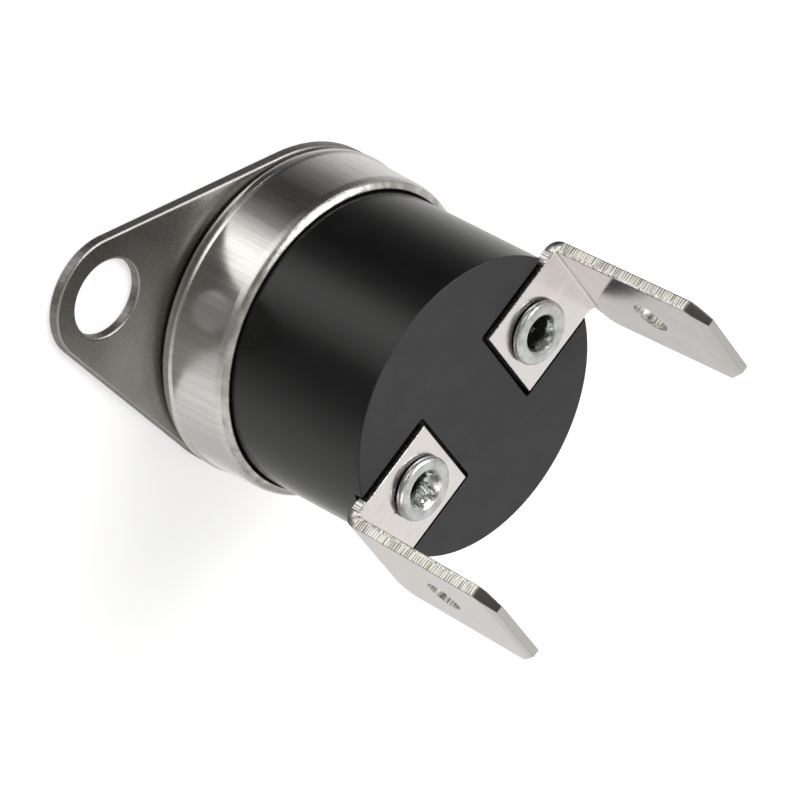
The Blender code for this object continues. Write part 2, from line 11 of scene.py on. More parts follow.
import bmesh
import bpy
from mathutils import Matrix, Vector


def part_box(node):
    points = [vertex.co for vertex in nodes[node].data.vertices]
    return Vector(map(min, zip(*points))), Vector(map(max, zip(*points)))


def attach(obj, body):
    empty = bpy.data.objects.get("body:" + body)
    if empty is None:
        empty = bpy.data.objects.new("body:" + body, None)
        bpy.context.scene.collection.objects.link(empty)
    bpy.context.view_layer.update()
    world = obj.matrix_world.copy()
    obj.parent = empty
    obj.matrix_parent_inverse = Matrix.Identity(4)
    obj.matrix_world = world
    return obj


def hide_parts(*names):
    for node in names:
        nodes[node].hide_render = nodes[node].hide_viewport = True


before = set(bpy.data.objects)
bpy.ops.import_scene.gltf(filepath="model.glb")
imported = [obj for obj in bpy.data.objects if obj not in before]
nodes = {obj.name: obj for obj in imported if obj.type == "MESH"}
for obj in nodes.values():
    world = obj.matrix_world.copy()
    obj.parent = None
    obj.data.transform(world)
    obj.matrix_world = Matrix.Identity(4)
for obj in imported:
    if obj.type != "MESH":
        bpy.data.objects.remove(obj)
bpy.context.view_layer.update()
MM = 0.001
print("CAD nodes:", sorted(nodes))

# %% [markdown]
# ## Round pieces
# Most metal parts here are round. A round piece could start from a cylinder that is cut and scaled, but a
# section that is spun round the axis, as on a lathe, shows every step of the wall in one list of points.
# Sharp corners catch no light, so a ring of edges is rounded afterwards with the small radius that a press
# tool or a mould leaves.


# %% Turning and rounding
def turned(section, steps, centre=(0.0, 0.0)):
    """Spin an open section of (radius, height) points round a vertical axis."""
    bm = bmesh.new()
    verts = [bm.verts.new((centre[0] + r, centre[1], z)) for r, z in section]
    edges = [bm.edges.new(pair) for pair in zip(verts, verts[1:])]
    axis = (*centre, 0.0)
    bmesh.ops.spin(
        bm, geom=verts + edges, cent=axis, axis=(0, 0, 1), angle=2 * math.pi, steps=steps, use_merge=True
    )
    bmesh.ops.remove_doubles(bm, verts=bm.verts, dist=1e-7)
    bmesh.ops.recalc_face_normals(bm, faces=bm.faces)
    return bm


def bevel(bm, edges, offset, segments):
    """A bevel with a round profile that keeps the materials of the faces beside it."""
    bmesh.ops.bevel(
        bm, geom=edges, offset=offset, segments=segments, profile=0.5, affect="EDGES", material=-1
    )


def round_ring(bm, corner, radius, segments=4, centre=(0.0, 0.0)):
    """Round the ring of edges that a section's corner made."""
    r, z = corner

    def on_ring(vert):
        far = math.hypot(vert.co.x - centre[0], vert.co.y - centre[1])
        return abs(far - r) < 1e-6 and abs(vert.co.z - z) < 1e-6

    ring = [e for e in bm.edges if all(on_ring(v) for v in e.verts)]
    bevel(bm, ring, radius, segments)


CUP_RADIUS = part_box("disc_cup")[1].x
CUP_STEPS = 144
print("the cup turned in", CUP_STEPS, "steps has flats of",
      round(2 * math.pi * CUP_RADIUS / CUP_STEPS / MM, 2), "mm")

# %% [markdown]
# ## Flat pieces
# The plate and the terminals are stamped from sheet. Their outline is drawn with straight edges and arcs, and
# an arc is a point swept round a centre. The outline could be cut from a block with Booleans, but filling it
# and raising it keeps the flat faces in one piece, so that they shade evenly.


# %% Outlines and plates
def swept(bm, vert, centre, degrees, steps):
    """Sweep a vertex round a centre in the XY plane, and return the last vertex of the arc."""
    spun = bmesh.ops.spin(
        bm, geom=[vert], cent=(*centre, 0), axis=(0, 0, 1), angle=math.radians(degrees), steps=steps
    )
    return [item for item in spun["geom_last"] if isinstance(item, bmesh.types.BMVert)][0]


def raised(bm, faces, height):
    """Extrude flat faces upwards, with their underside kept as the bottom."""
    grown = bmesh.ops.extrude_face_region(bm, geom=faces, use_keep_orig=True)
    top = [item for item in grown["geom"] if isinstance(item, bmesh.types.BMVert)]
    bmesh.ops.translate(bm, verts=top, vec=(0, 0, height))
    bmesh.ops.recalc_face_normals(bm, faces=bm.faces)


def filled_and_raised(bm, thickness):
    """Fill the outlines, holes left open, and raise them to a plate that lies on height zero."""
    bmesh.ops.remove_doubles(bm, verts=bm.verts, dist=1e-7)
    bmesh.ops.triangle_fill(bm, use_beauty=True, edges=bm.edges)
    bmesh.ops.dissolve_limit(bm, angle_limit=math.radians(1), verts=bm.verts, edges=bm.edges)
    raised(bm, list(bm.faces), thickness)


def edges_at(bm, height):
    """The edges at a height between a flat face and a side wall."""
    flat = [e for e in bm.edges if all(abs(v.co.z - height) < 1e-7 for v in e.verts)]
    return [e for e in flat if len(e.link_faces) == 2 and e.calc_face_angle() > 1.0]


PLATE_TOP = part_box("mounting_bracket")[1].z
print("the bracket is stamped from", round(PLATE_TOP / MM, 2), "mm sheet")

# %% [markdown]
# ## Handing a piece over
# Each finished piece rides on a body of the mechanism and stands for one CAD node, which is then hidden. Its
# edges stay sharp where the faces meet steeply, and weighted normals keep the flat faces flat in the shading
# up to their rounded edges.

# %% Finished piece
SHARP_FROM = math.radians(32)
FLAT_WEIGHT = 90


def finished(name, bm, materials, body, node):
    """Make the piece, let it ride on its body, and let it stand for its CAD node."""
    mesh = bpy.data.meshes.new(name)
    bm.to_mesh(mesh)
    bm.free()
    mesh.shade_smooth()
    mesh.set_sharp_from_angle(angle=SHARP_FROM)
    for material in materials:
        mesh.materials.append(material)
    piece = bpy.data.objects.new(name, mesh)
    bpy.context.scene.collection.objects.link(piece)
    even = piece.modifiers.new("even_normals", "WEIGHTED_NORMAL")
    even.keep_sharp = True
    even.weight = FLAT_WEIGHT
    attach(piece, body)
    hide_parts(node)
    print(name, len(mesh.polygons), "faces, materials", [m.name for m in materials])


# %% [markdown]
# ## Colours and nodes
# Colours are written as they look on a screen, in sRGB, and one function turns them to the linear values that
# the shader counts in. A second one adds a node with its settings and its links in one line, and gives back
# the output that the next node reads, so that a finish reads like a recipe. Two more make what nearly every
# finish has: a pattern that runs between two colours, and one that darkens. Scales of patterns are written
# as so many to the millimetre.


# %% Colour and node tools
def hex_colour(text):
    """An sRGB hex colour as linear RGBA."""
    parts = [int(text[i : i + 2], 16) / 255 for i in (0, 2, 4)]
    linear = [c / 12.92 if c <= 0.04045 else ((c + 0.055) / 1.055) ** 2.4 for c in parts]
    return (*linear, 1.0)


def add(tree, kind, inputs=(), out=0, **settings):
    """Add a shader node of a kind, set or link its inputs, and give back one output.

    The inputs are values or sockets in the node's own order, or keyed by name or number.
    """
    node = tree.nodes.new("ShaderNode" + kind)
    for key, value in settings.items():
        setattr(node, key, value)
    for key, value in inputs.items() if isinstance(inputs, dict) else enumerate(inputs):
        if isinstance(value, bpy.types.NodeSocket):
            tree.links.new(value, node.inputs[key])
        else:
            node.inputs[key].default_value = value
    return node.outputs[out]


def two_tone(tree, pattern, low, high, first, second):
    """A colour that runs from the first hex colour to the second while the pattern runs low to high."""
    share = add(tree, "MapRange", (pattern, low, high, 0, 1))
    ends = {0: share, 6: hex_colour(first), 7: hex_colour(second)}
    return add(tree, "Mix", ends, 2, data_type="RGBA")


def darkened(tree, colour, pattern, low, high, least):
    """The colour, multiplied by one and then less, down to least, while the pattern runs low to high."""
    share = add(tree, "MapRange", (pattern, low, high, 1.0, least))
    parts = {0: 1.0, 6: colour, 7: share}
    return add(tree, "Mix", parts, 2, data_type="RGBA", blend_type="MULTIPLY")


def new_finish(name, colour, roughness, metallic=0.0):
    """A Principled material with its plain values set on the shader itself."""
    material = bpy.data.materials.new(name)
    material.use_nodes = True
    shader = material.node_tree.nodes["Principled BSDF"]
    shader.inputs["Base Color"].default_value = hex_colour(colour)
    shader.inputs["Roughness"].default_value = roughness
    shader.inputs["Metallic"].default_value = metallic
    return material, material.node_tree, shader


print("screen grey 808080 is", round(hex_colour("808080")[0], 3), "in linear light")

# %% [markdown]
# ## Camera
# A long lens from far away shows small objects with little perspective. Its place, length and turn were
# fitted to the outlines in the photograph, so that the object's axis points to the right and down. The turn
# is written as the directions of the camera's own axes, which is easier to check than three angles.

# %% Camera
eye = bpy.data.cameras.new("camera")
eye.lens = 291.6
eye.sensor_width = 36.0
eye.shift_x = -0.01325
eye.shift_y = -0.00425
eye.clip_start = 0.01
eye.clip_end = 20.0
camera = bpy.data.objects.new("camera", eye)
right = Vector((0.648, 0.295, 0.702)).normalized()
back = Vector((-0.761, 0.224, 0.609)).normalized()
above = back.cross(right).normalized()
right = above.cross(back)
turn = Matrix((right, above, back)).transposed().to_4x4()
camera.matrix_world = Matrix.Translation(Vector((-237.7, 68.94, 199.96)) * MM) @ turn
bpy.context.scene.collection.objects.link(camera)
bpy.context.scene.camera = camera
print("camera", round(camera.location.length / MM), "mm from the mounting face")

# %% [markdown]
# ## Tent of light
# The photograph was taken in soft light on white, inside a small tent with an open, darker front. Bright
# metal shows its surroundings more than itself, so the world is drawn as such a tent. Overhead the glow grows
# towards one side. Lower down, where the metal's upright walls look, a few panels stand round the object, and
# a colour ramp over the compass direction holds them. Many lamps could do the same, but a ramp is quicker to
# match to the reflections on the cup, and the camera itself sees plain white.

# %% Panels of the tent
# Compass direction of a panel in degrees from +X towards +Y, and how bright it is
PANELS = (
    (0, 0.9), (24, 0.9), (44, 0.6), (64, 0.22), (84, 0.06), (104, 0.07), (120, 0.35), (132, 1.2),
    (143, 1.8), (155, 1.6), (166, 1.0), (179, 0.3), (190, 0.25), (204, 0.33), (224, 0.72), (243, 1.0),
    (290, 0.68), (310, 0.68), (326, 0.95), (360, 0.9),
)
BRIGHTEST = 1.8

scene = bpy.context.scene
scene.view_settings.view_transform = "Standard"
world = bpy.data.worlds.new("soft_tent")
scene.world = world
world.use_nodes = True
tent = world.node_tree
facing = add(tent, "TexCoord", out="Generated")
axes = add(tent, "SeparateXYZ", (facing,)).node.outputs
compass = add(tent, "Math", (axes["Y"], axes["X"]), operation="ARCTAN2")
turns = add(tent, "MapRange", (compass, -math.pi, math.pi, -0.5, 0.5))
wrapped = add(tent, "Math", (turns, 1.0, 0.0), operation="WRAP")
ramp = add(tent, "ValToRGB", (wrapped,))
stops = ramp.node.color_ramp.elements
while len(stops) < len(PANELS):
    stops.new(0.5)
for stop, (degrees, glow) in zip(stops, PANELS):
    stop.position = degrees / 360
    stop.color = (glow / BRIGHTEST, glow / BRIGHTEST, glow / BRIGHTEST, 1.0)
panels = add(tent, "MapRange", (ramp, 0.0, 1.0, 0.0, BRIGHTEST))
print(len(PANELS), "panels round the object")

# %% Overhead and whole tent
BRIGHT_SIDE = (0.35, -0.85, 0.39)
background = tent.nodes["Background"]
toward = add(tent, "VectorMath", (facing, BRIGHT_SIDE), "Value", operation="DOT_PRODUCT")
sky = add(tent, "MapRange", (toward, -0.25, 0.7, 0.1, 1.0))
overhead = add(tent, "MapRange", (axes["Z"], 0.32, 0.5, 0.0, 1.0))
around = add(tent, "Mix", {0: overhead, 2: panels, 3: sky})
by_camera = add(tent, "LightPath", out="Is Camera Ray")
strength = add(tent, "Mix", {0: by_camera, 2: around, 3: 1.0})
tent.links.new(strength, background.inputs["Strength"])
background.inputs["Color"].default_value = hex_colour("f6f5f3")
print("world", world.name, "with", len(tent.nodes), "nodes")

# %% [markdown]
# ## Key lamp
# One large square lamp stands behind and above the object. It gives the soft shadow on the floor and the
# bright streak along the crimped rim.

# %% Key lamp
KEY_AT = Vector((0.045, 0.265, 0.31))
KEY_AIM = Vector((0.0, 0.0, 8 * MM))
light = bpy.data.lights.new("key", "AREA")
light.shape = "SQUARE"
light.size = 0.35
light.energy = 1.2
key = bpy.data.objects.new("key", light)
turn = (KEY_AT - KEY_AIM).to_track_quat("Z", "Y").to_matrix().to_4x4()
key.matrix_world = Matrix.Translation(KEY_AT) @ turn
scene.collection.objects.link(key)
print("key lamp", round((KEY_AT - KEY_AIM).length, 2), "m from the object")

# %% [markdown]
# ## Floor
# The floor is matt white paper that keeps the object's shadow. It glows a little where the camera looks at
# it, more further out, so that it fades to the white of the background and only the shadow near the object
# stays. Glossy rays pass through it to the tent's panels, as the metal in the photograph mirrors them.

# %% Floor
UNDER_PART = 0.02 * MM
FLOOR_RADIUS = 1.5
bm = bmesh.new()
bmesh.ops.create_circle(bm, cap_ends=True, segments=96, radius=FLOOR_RADIUS)
bmesh.ops.translate(bm, verts=bm.verts, vec=(0, 0, -UNDER_PART))
floor_mesh = bpy.data.meshes.new("floor")
bm.to_mesh(floor_mesh)
bm.free()
floor = bpy.data.objects.new("floor", floor_mesh)
scene.collection.objects.link(floor)
floor.visible_glossy = False

paper, tree, shader = new_finish("white_paper", "e9e9e8", 0.9)
shader.inputs["Specular IOR Level"].default_value = 0.0
by_camera = add(tree, "LightPath", out="Is Camera Ray")
place = add(tree, "TexCoord", out="Object")
away = add(tree, "VectorMath", (place,), "Value", operation="LENGTH")
own = add(tree, "MapRange", (away, 0.05, 0.3, 0.4, 1.0))
seen = add(tree, "Math", (own, by_camera), operation="MULTIPLY")
glow = add(tree, "Emission", (hex_colour("ffffff"), seen))
both = add(tree, "AddShader", (shader.outputs["BSDF"], glow))
tree.links.new(both, tree.nodes["Material Output"].inputs["Surface"])
floor_mesh.materials.append(paper)
print("floor", round(UNDER_PART / MM, 2), "mm under the part")

# %% [markdown]
# ## Finish of the plated sheet
# The bracket is zinc-plated steel sheet. Its flat faces are satin, with the faint mottling of a rolled and
# plated sheet: clouds some 3 mm wide in the colour, and a grain of less than 0.1 mm in the gloss. A punch
# leaves another surface on the cut wall: a grey, grainy band, pitted where the metal tore. So the piece gets
# two materials.


# %% Plated sheet and its cut wall
def rolled_sheet(name, colour, darker, roughness):
    """Plated steel sheet: a satin metal whose fine grain and faint clouds vary its gloss."""
    material, tree, shader = new_finish(name, colour, roughness, 1.0)
    place = add(tree, "TexCoord", out="Object")
    clouds = add(tree, "TexNoise", {"Vector": place, "Scale": 0.35 / MM, "Detail": 3})
    grain = add(tree, "TexNoise", {"Vector": place, "Scale": 14 / MM})
    tint = two_tone(tree, clouds, 0.35, 0.65, darker, colour)
    mottled = darkened(tree, tint, grain, 0.64, 0.76, 0.9)
    tree.links.new(mottled, shader.inputs["Base Color"])
    gloss = add(tree, "MapRange", (grain, 0.3, 0.7, roughness - 0.06, roughness + 0.08))
    tree.links.new(gloss, shader.inputs["Roughness"])
    relief = add(tree, "Bump", {"Height": grain, "Distance": 0.002 * MM})
    tree.links.new(relief, shader.inputs["Normal"])
    return material


def sheared_wall(name, colour, darker, roughness):
    """The wall that a punch leaves: a grey band with upright lines, dull and pitted where it tore."""
    material, tree, shader = new_finish(name, colour, roughness, 1.0)
    place = add(tree, "TexCoord", out="Object")
    upright = add(tree, "Mapping", {"Vector": place, "Scale": (1, 1, 0.15)})
    lines = add(tree, "TexNoise", {"Vector": upright, "Scale": 5 / MM, "Detail": 3})
    drawn = add(tree, "Mapping", {"Vector": place, "Scale": (1, 1, 0.6)})
    tears = add(tree, "TexNoise", {"Vector": drawn, "Scale": 9 / MM, "Detail": 3})
    tint = two_tone(tree, lines, 0.35, 0.7, darker, colour)
    pitted = darkened(tree, tint, tears, 0.6, 0.72, 0.55)
    tree.links.new(pitted, shader.inputs["Base Color"])
    height = add(tree, "Math", (lines, tears), operation="ADD")
    relief = add(tree, "Bump", {"Height": height, "Distance": 0.004 * MM})
    tree.links.new(relief, shader.inputs["Normal"])
    return material


bracket_face = rolled_sheet("zinc_plated_steel_sheet", "a5a29d", "989590", 0.3)
bracket_wall = sheared_wall("sheared_steel_edge", "9b9895", "83817d", 0.46)
print("bracket finishes:", bracket_face.name, bracket_wall.name)

# %% [markdown]
# ## Bracket plate
# The plate is blanked from sheet: two ears, joined by straight lines that touch the round middle, a window
# for the cup's pad and two screw holes. The punch rounds the upper edge and leaves the lower one sharp. The
# outline is drawn once round, arc by arc, because each line then starts exactly where an arc ends.

# %% Outline of the bracket
EAR_RADIUS = 3.25 * MM
EAR_HOLE_RADIUS = 2.0 * MM
EAR_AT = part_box("mounting_bracket")[1].x - EAR_RADIUS
PAD_RADIUS = CUP_RADIUS - 2.2 * MM
WINDOW_RADIUS = PAD_RADIUS + 0.1 * MM

lean = math.degrees(math.acos((CUP_RADIUS - EAR_RADIUS) / EAR_AT))
bm = bmesh.new()
start = Vector((math.cos(math.radians(-lean)), math.sin(math.radians(-lean)), 0))
first = bm.verts.new(start * EAR_RADIUS + Vector((EAR_AT, 0, 0)))
last = swept(bm, first, (EAR_AT, 0), 2 * lean, 32)
for side in (1, -1):
    tangent_at = Vector((side * math.cos(math.radians(lean)), side * math.sin(math.radians(lean)), 0))
    corner = bm.verts.new(tangent_at * CUP_RADIUS)
    bm.edges.new((last, corner))
    last = swept(bm, corner, (0, 0), 180 - 2 * lean, 40)
    if side == 1:
        ear = bm.verts.new(Vector((-start.x, -start.y, 0)) * EAR_RADIUS - Vector((EAR_AT, 0, 0)))
        bm.edges.new((last, ear))
        last = swept(bm, ear, (-EAR_AT, 0), 2 * lean, 32)
bm.edges.new((last, first))
print("straight sides lean", round(90 - lean, 1), "degrees, ear holes", round(2 * EAR_AT / MM, 1), "mm apart")

# %% Bracket plate
PUNCHED_ROUND = 0.17 * MM
LOWER_ROUND = 0.02 * MM

for x, radius, count in (
    (0, WINDOW_RADIUS, 96),
    (EAR_AT, EAR_HOLE_RADIUS, 56),
    (-EAR_AT, EAR_HOLE_RADIUS, 56),
):
    middle = Matrix.Translation((x, 0, 0))
    bmesh.ops.create_circle(bm, cap_ends=False, segments=count, radius=radius, matrix=middle)
filled_and_raised(bm, PLATE_TOP)
for face in bm.faces:
    face.material_index = 0 if abs(face.normal.z) > 0.5 else 1
bevel(bm, edges_at(bm, PLATE_TOP), PUNCHED_ROUND, 6)
bevel(bm, edges_at(bm, 0.0), LOWER_ROUND, 1)
bracket_finishes = [bracket_face, bracket_wall]
finished("bracket_plate", bm, bracket_finishes, "switch_body", "mounting_bracket")

# %% [markdown]
# ## Finish of the drawn cup
# The cup is deep-drawn from bright steel strip. The draw ring leaves fine lines up the wall, and the roller
# that closes the crimp leaves a duller rim with lines round it and small dents. Both are noise on Object
# coordinates that are stretched along the lines: the smaller an axis's scale, the longer the lines run in it.


# %% Drawn wall and rolled rim
def drawn_steel(name, colour, darker, roughness):
    """Bright drawn steel: lines along the draw, fine grain between them, and smears where a tool slid."""
    material, tree, shader = new_finish(name, colour, roughness, 1.0)
    place = add(tree, "TexCoord", out="Object")
    draw = add(tree, "Mapping", {"Vector": place, "Scale": (1, 1, 0.03)})
    lines = add(tree, "TexNoise", {"Vector": draw, "Scale": 6 / MM, "Detail": 3})
    slide = add(tree, "Mapping", {"Vector": place, "Scale": (1, 1, 0.25)})
    smears = add(tree, "TexNoise", {"Vector": slide, "Scale": 0.5 / MM, "Detail": 3})
    grain = add(tree, "TexNoise", {"Vector": place, "Scale": 14 / MM})
    tint = two_tone(tree, lines, 0.3, 0.65, darker, colour)
    tree.links.new(tint, shader.inputs["Base Color"])
    gloss = add(tree, "MapRange", (smears, 0.3, 0.7, roughness - 0.06, roughness + 0.1))
    tree.links.new(gloss, shader.inputs["Roughness"])
    height = add(tree, "Math", (grain, 0.5, lines), operation="MULTIPLY_ADD")
    relief = add(tree, "Bump", {"Height": height, "Distance": 0.0012 * MM})
    tree.links.new(relief, shader.inputs["Normal"])
    return material


def rolled_rim(name, colour, darker, roughness):
    """The rim that a roller closed: lines round it, broken by small dents, duller than the drawn wall."""
    material, tree, shader = new_finish(name, colour, roughness, 1.0)
    place = add(tree, "TexCoord", out="Object")
    round_rim = add(tree, "Mapping", {"Vector": place, "Scale": (0.12, 0.12, 1)})
    lines = add(tree, "TexNoise", {"Vector": round_rim, "Scale": 7 / MM, "Detail": 3})
    dents = add(tree, "TexNoise", {"Vector": place, "Scale": 1.6 / MM, "Detail": 3})
    tint = two_tone(tree, dents, 0.4, 0.65, darker, colour)
    tree.links.new(tint, shader.inputs["Base Color"])
    height = add(tree, "Math", (dents, 4.0, lines), operation="MULTIPLY_ADD")
    relief = add(tree, "Bump", {"Height": height, "Distance": 0.008 * MM})
    tree.links.new(relief, shader.inputs["Normal"])
    return material


cup_finish = drawn_steel("bright_drawn_steel", "dcdbd8", "cdccca", 0.165)
rim_finish = rolled_rim("rolled_steel_rim", "d2d0cb", "aeaca6", 0.33)
print("cup finishes:", cup_finish.name, rim_finish.name)

# %% [markdown]
# ## Drawn cup
# The cup has a flat pad that senses the heat, a ledge over the plate, an upright wall with a low step above
# its foot, and the crimped rim that leans in over the body's shoulder. It is turned from one section with
# sharp corners, and each corner is rounded afterwards with its own radius, which keeps the section easy to
# read.

# %% Section of the cup
SEAT_GAP = 0.05 * MM
CUP_SHEET = 0.35 * MM
CUP_LEDGE = PLATE_TOP + SEAT_GAP
CRIMP_Z = 4.52 * MM
CRIMP_ANGLE = math.radians(60)
CRIMP_RADIUS = 0.15 * MM
CRIMP_LIP = 0.25 * MM
BAND_TOP = CUP_LEDGE + 0.80 * MM
BAND_STEP = 0.06 * MM
WALL_LEAN = 0.10 * MM

lip = Vector((-math.sin(CRIMP_ANGLE), math.cos(CRIMP_ANGLE)))
across_lip = Vector((math.cos(CRIMP_ANGLE), math.sin(CRIMP_ANGLE)))
tangent = math.tan(CRIMP_ANGLE / 2)
rim_sheet = CUP_SHEET - BAND_STEP - WALL_LEAN
outer_corner = Vector((CUP_RADIUS - BAND_STEP - WALL_LEAN, CRIMP_Z + (CRIMP_RADIUS + rim_sheet) * tangent))
inner_corner = Vector((CUP_RADIUS - CUP_SHEET, CRIMP_Z + CRIMP_RADIUS * tangent))
outer_end = outer_corner + lip * ((CRIMP_RADIUS + CUP_SHEET) * tangent + CRIMP_LIP)
inner_end = outer_end - across_lip * rim_sheet
section = [
    (0, 0),
    (PAD_RADIUS, 0),
    (PAD_RADIUS, CUP_LEDGE),
    (CUP_RADIUS, CUP_LEDGE),
    (CUP_RADIUS, BAND_TOP),
    (CUP_RADIUS - BAND_STEP, BAND_TOP + BAND_STEP),
    tuple(outer_corner),
    tuple(outer_end),
    tuple(inner_end),
    tuple(inner_corner),
    (CUP_RADIUS - CUP_SHEET, CUP_LEDGE + CUP_SHEET),
    (PAD_RADIUS - CUP_SHEET, CUP_LEDGE + CUP_SHEET),
    (PAD_RADIUS - CUP_SHEET, CUP_SHEET),
    (0, CUP_SHEET),
]
print("rim ends at", round(outer_end.y / MM, 2), "mm")

# %% Cup
# Corner of the section, its radius in mm and the segments of its rounding, from the pad up and in again
CUP_CORNERS = (
    (1, 0.18, 4), (3, 0.55, 8), (4, 0.05, 3), (5, 0.12, 3), (6, 0.36, 9), (7, 0.1, 4), (8, 0.05, 2),
    (9, 0.08, 3), (10, 0.14, 3),
)
bm = turned(section, CUP_STEPS)
for corner, radius, segments in CUP_CORNERS:
    round_ring(bm, section[corner], radius * MM, segments)
for face in bm.faces:
    face.material_index = 1 if face.calc_center_median().z > outer_corner.y else 0
finished("drawn_cup", bm, [cup_finish, rim_finish], "switch_body", "disc_cup")

# %% [markdown]
# ## Finish of the phenolic
# The body is pressed from black phenolic, a hard thermoset with a wood-flour filler. It is polished on the
# turned side and matt on the end face, and the filler leaves faint grey clouds some 2 mm wide. One recipe
# serves both, with another gloss and grit. The side's refractive index is set a little below the usual 1.5,
# because the real side mirrors the tent only weakly.


# %% Phenolic
def moulded_phenolic(name, colour, paler, roughness, grit, ior):
    """Black phenolic: nearly black, with a grey haze from its filler and a fine dull grain."""
    material, tree, shader = new_finish(name, colour, roughness)
    shader.inputs["IOR"].default_value = ior
    place = add(tree, "TexCoord", out="Object")
    hazy = {"Vector": place, "Scale": 0.5 / MM, "Detail": 4, "Roughness": 0.6}
    clouds = add(tree, "TexNoise", hazy)
    grain = add(tree, "TexNoise", {"Vector": place, "Scale": 11 / MM, "Detail": 3})
    tint = two_tone(tree, clouds, 0.4, 0.7, colour, paler)
    tree.links.new(tint, shader.inputs["Base Color"])
    gloss = add(tree, "MapRange", (grain, 0.3, 0.7, roughness - 0.04, roughness + 0.06))
    tree.links.new(gloss, shader.inputs["Roughness"])
    relief = add(tree, "Bump", {"Height": grain, "Distance": grit})
    tree.links.new(relief, shader.inputs["Normal"])
    return material


phenolic_side = moulded_phenolic("polished_black_phenolic", "131313", "181818", 0.16, 0.0012 * MM, 1.41)
phenolic_end = moulded_phenolic("matt_black_phenolic", "222224", "29292b", 0.5, 0.005 * MM, 1.5)
print("body finishes:", phenolic_side.name, phenolic_end.name)

# %% [markdown]
# ## Cutting a moulding
# The recesses and bosses don't lie round the body's own axis, so they can't be in the turned section. They
# are cut and joined with Booleans. The exact solver is used, because its edges stay clean where a cutter runs
# out through the wall.


# %% Cutting tools
def cut_from(bm, cutter, operation="DIFFERENCE"):
    """Apply an exact Boolean to a bmesh and give back the result."""
    objects = []
    for source in (bm, cutter):
        mesh = bpy.data.meshes.new("blank")
        source.to_mesh(mesh)
        source.free()
        objects.append(bpy.data.objects.new("blank", mesh))
        bpy.context.scene.collection.objects.link(objects[-1])
    modifier = objects[0].modifiers.new("cut", "BOOLEAN")
    modifier.operation = operation
    modifier.solver = "EXACT"
    modifier.object = objects[1]
    graph = bpy.context.evaluated_depsgraph_get()
    result = bmesh.new()
    result.from_mesh(bpy.data.meshes.new_from_object(objects[0].evaluated_get(graph)))
    for obj in objects:
        bpy.data.objects.remove(obj, do_unlink=True)
    return result


def block(corners, low, high):
    """A block over an outline of (x, y) corners."""
    bm = bmesh.new()
    face = bm.faces.new([bm.verts.new((x, y, low)) for x, y in corners])
    raised(bm, [face], high - low)
    return bm


TERMINAL_AZIMUTH = math.radians(59)


def on_line(distance, across=0.0):
    """The (x, y) of a point on the terminals' line, at a distance from the axis and across it."""
    direction = Vector((math.cos(TERMINAL_AZIMUTH), math.sin(TERMINAL_AZIMUTH)))
    side = Vector((-direction.y, direction.x))
    point = distance * direction + across * side
    return (point.x, point.y)


print("the terminals' line is", round(math.degrees(TERMINAL_AZIMUTH)), "degrees from the ears' line")

# %% [markdown]
# ## Moulded body
# The body has a shoulder that the crimp holds, a slightly smaller neck, a cavity for the mechanism, a boss
# round each rivet and a recess that keys each terminal's foot. The blank is turned, and then each side gets
# its boss, its recess and its rivet hole, in the order in which they lie over each other.

# %% Blank of the body
HOUSING_LOW, HOUSING_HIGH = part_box("housing")
SHOULDER_RADIUS = HOUSING_HIGH.x
NECK_RADIUS = SHOULDER_RADIUS - 0.29 * MM
CAVITY_RADIUS = NECK_RADIUS - 1.26 * MM
FACE_Z = HOUSING_HIGH.z
CEILING_Z = FACE_Z - 2.9 * MM
SHOULDER_TOP = HOUSING_LOW.z + 1.97 * MM
SHOULDER_SLOPE = 0.25 * MM
FACE_ROUND = 0.07 * MM

section = [
    (CAVITY_RADIUS, HOUSING_LOW.z),
    (SHOULDER_RADIUS, HOUSING_LOW.z),
    (SHOULDER_RADIUS, SHOULDER_TOP),
    (NECK_RADIUS, SHOULDER_TOP + SHOULDER_SLOPE),
    (NECK_RADIUS, FACE_Z),
    (0, FACE_Z),
    (0, CEILING_Z),
    (CAVITY_RADIUS, CEILING_Z),
    (CAVITY_RADIUS, HOUSING_LOW.z),
]
bm = turned(section, 144)
round_ring(bm, section[4], FACE_ROUND, 3)
print("body", round(2 * NECK_RADIUS / MM, 1), "mm across, end face at", round(FACE_Z / MM, 2), "mm")

# %% Bosses, recesses and holes
RECESS_DEPTH = 0.51 * MM
RECESS_SIDE_GAP = 0.32 * MM
RECESS_END_GAP = 0.24 * MM
RECESS_ROUND = 0.18 * MM
FOOT_WIDTH = 4.95 * MM
RIVET_AT = 4.75 * MM
RIVET_HOLE = 1.25 * MM
FOOT_START = RIVET_AT - 2.13 * MM
BOSS_RADIUS = 1.8 * MM
BOSS_LOW = CEILING_Z - 1.5 * MM
BOSS_TOP = CEILING_Z + 0.1 * MM

for sign in (1, -1):
    centre = on_line(sign * RIVET_AT)
    boss = [(0, BOSS_LOW), (BOSS_RADIUS, BOSS_LOW), (BOSS_RADIUS, BOSS_TOP), (0, BOSS_TOP)]
    bm = cut_from(bm, turned(boss, 48, centre), "UNION")
    half = FOOT_WIDTH / 2 + RECESS_SIDE_GAP
    start = FOOT_START - RECESS_END_GAP
    corners = [(start, -half), (3 * NECK_RADIUS, -half), (3 * NECK_RADIUS, half), (start, half)]
    corners = [on_line(sign * a, sign * b) for a, b in corners]
    cutter = block(corners, FACE_Z - RECESS_DEPTH, FACE_Z + 2 * MM)
    upright = [e for e in cutter.edges if abs(e.verts[0].co.z - e.verts[1].co.z) > MM]
    bevel(cutter, upright, RECESS_ROUND, 4)
    bm = cut_from(bm, cutter)
    low, high = BOSS_LOW - MM, FACE_Z + MM
    bm = cut_from(bm, turned([(0, low), (RIVET_HOLE, low), (RIVET_HOLE, high), (0, high)], 48, centre))
bmesh.ops.recalc_face_normals(bm, faces=bm.faces)
bm.normal_update()
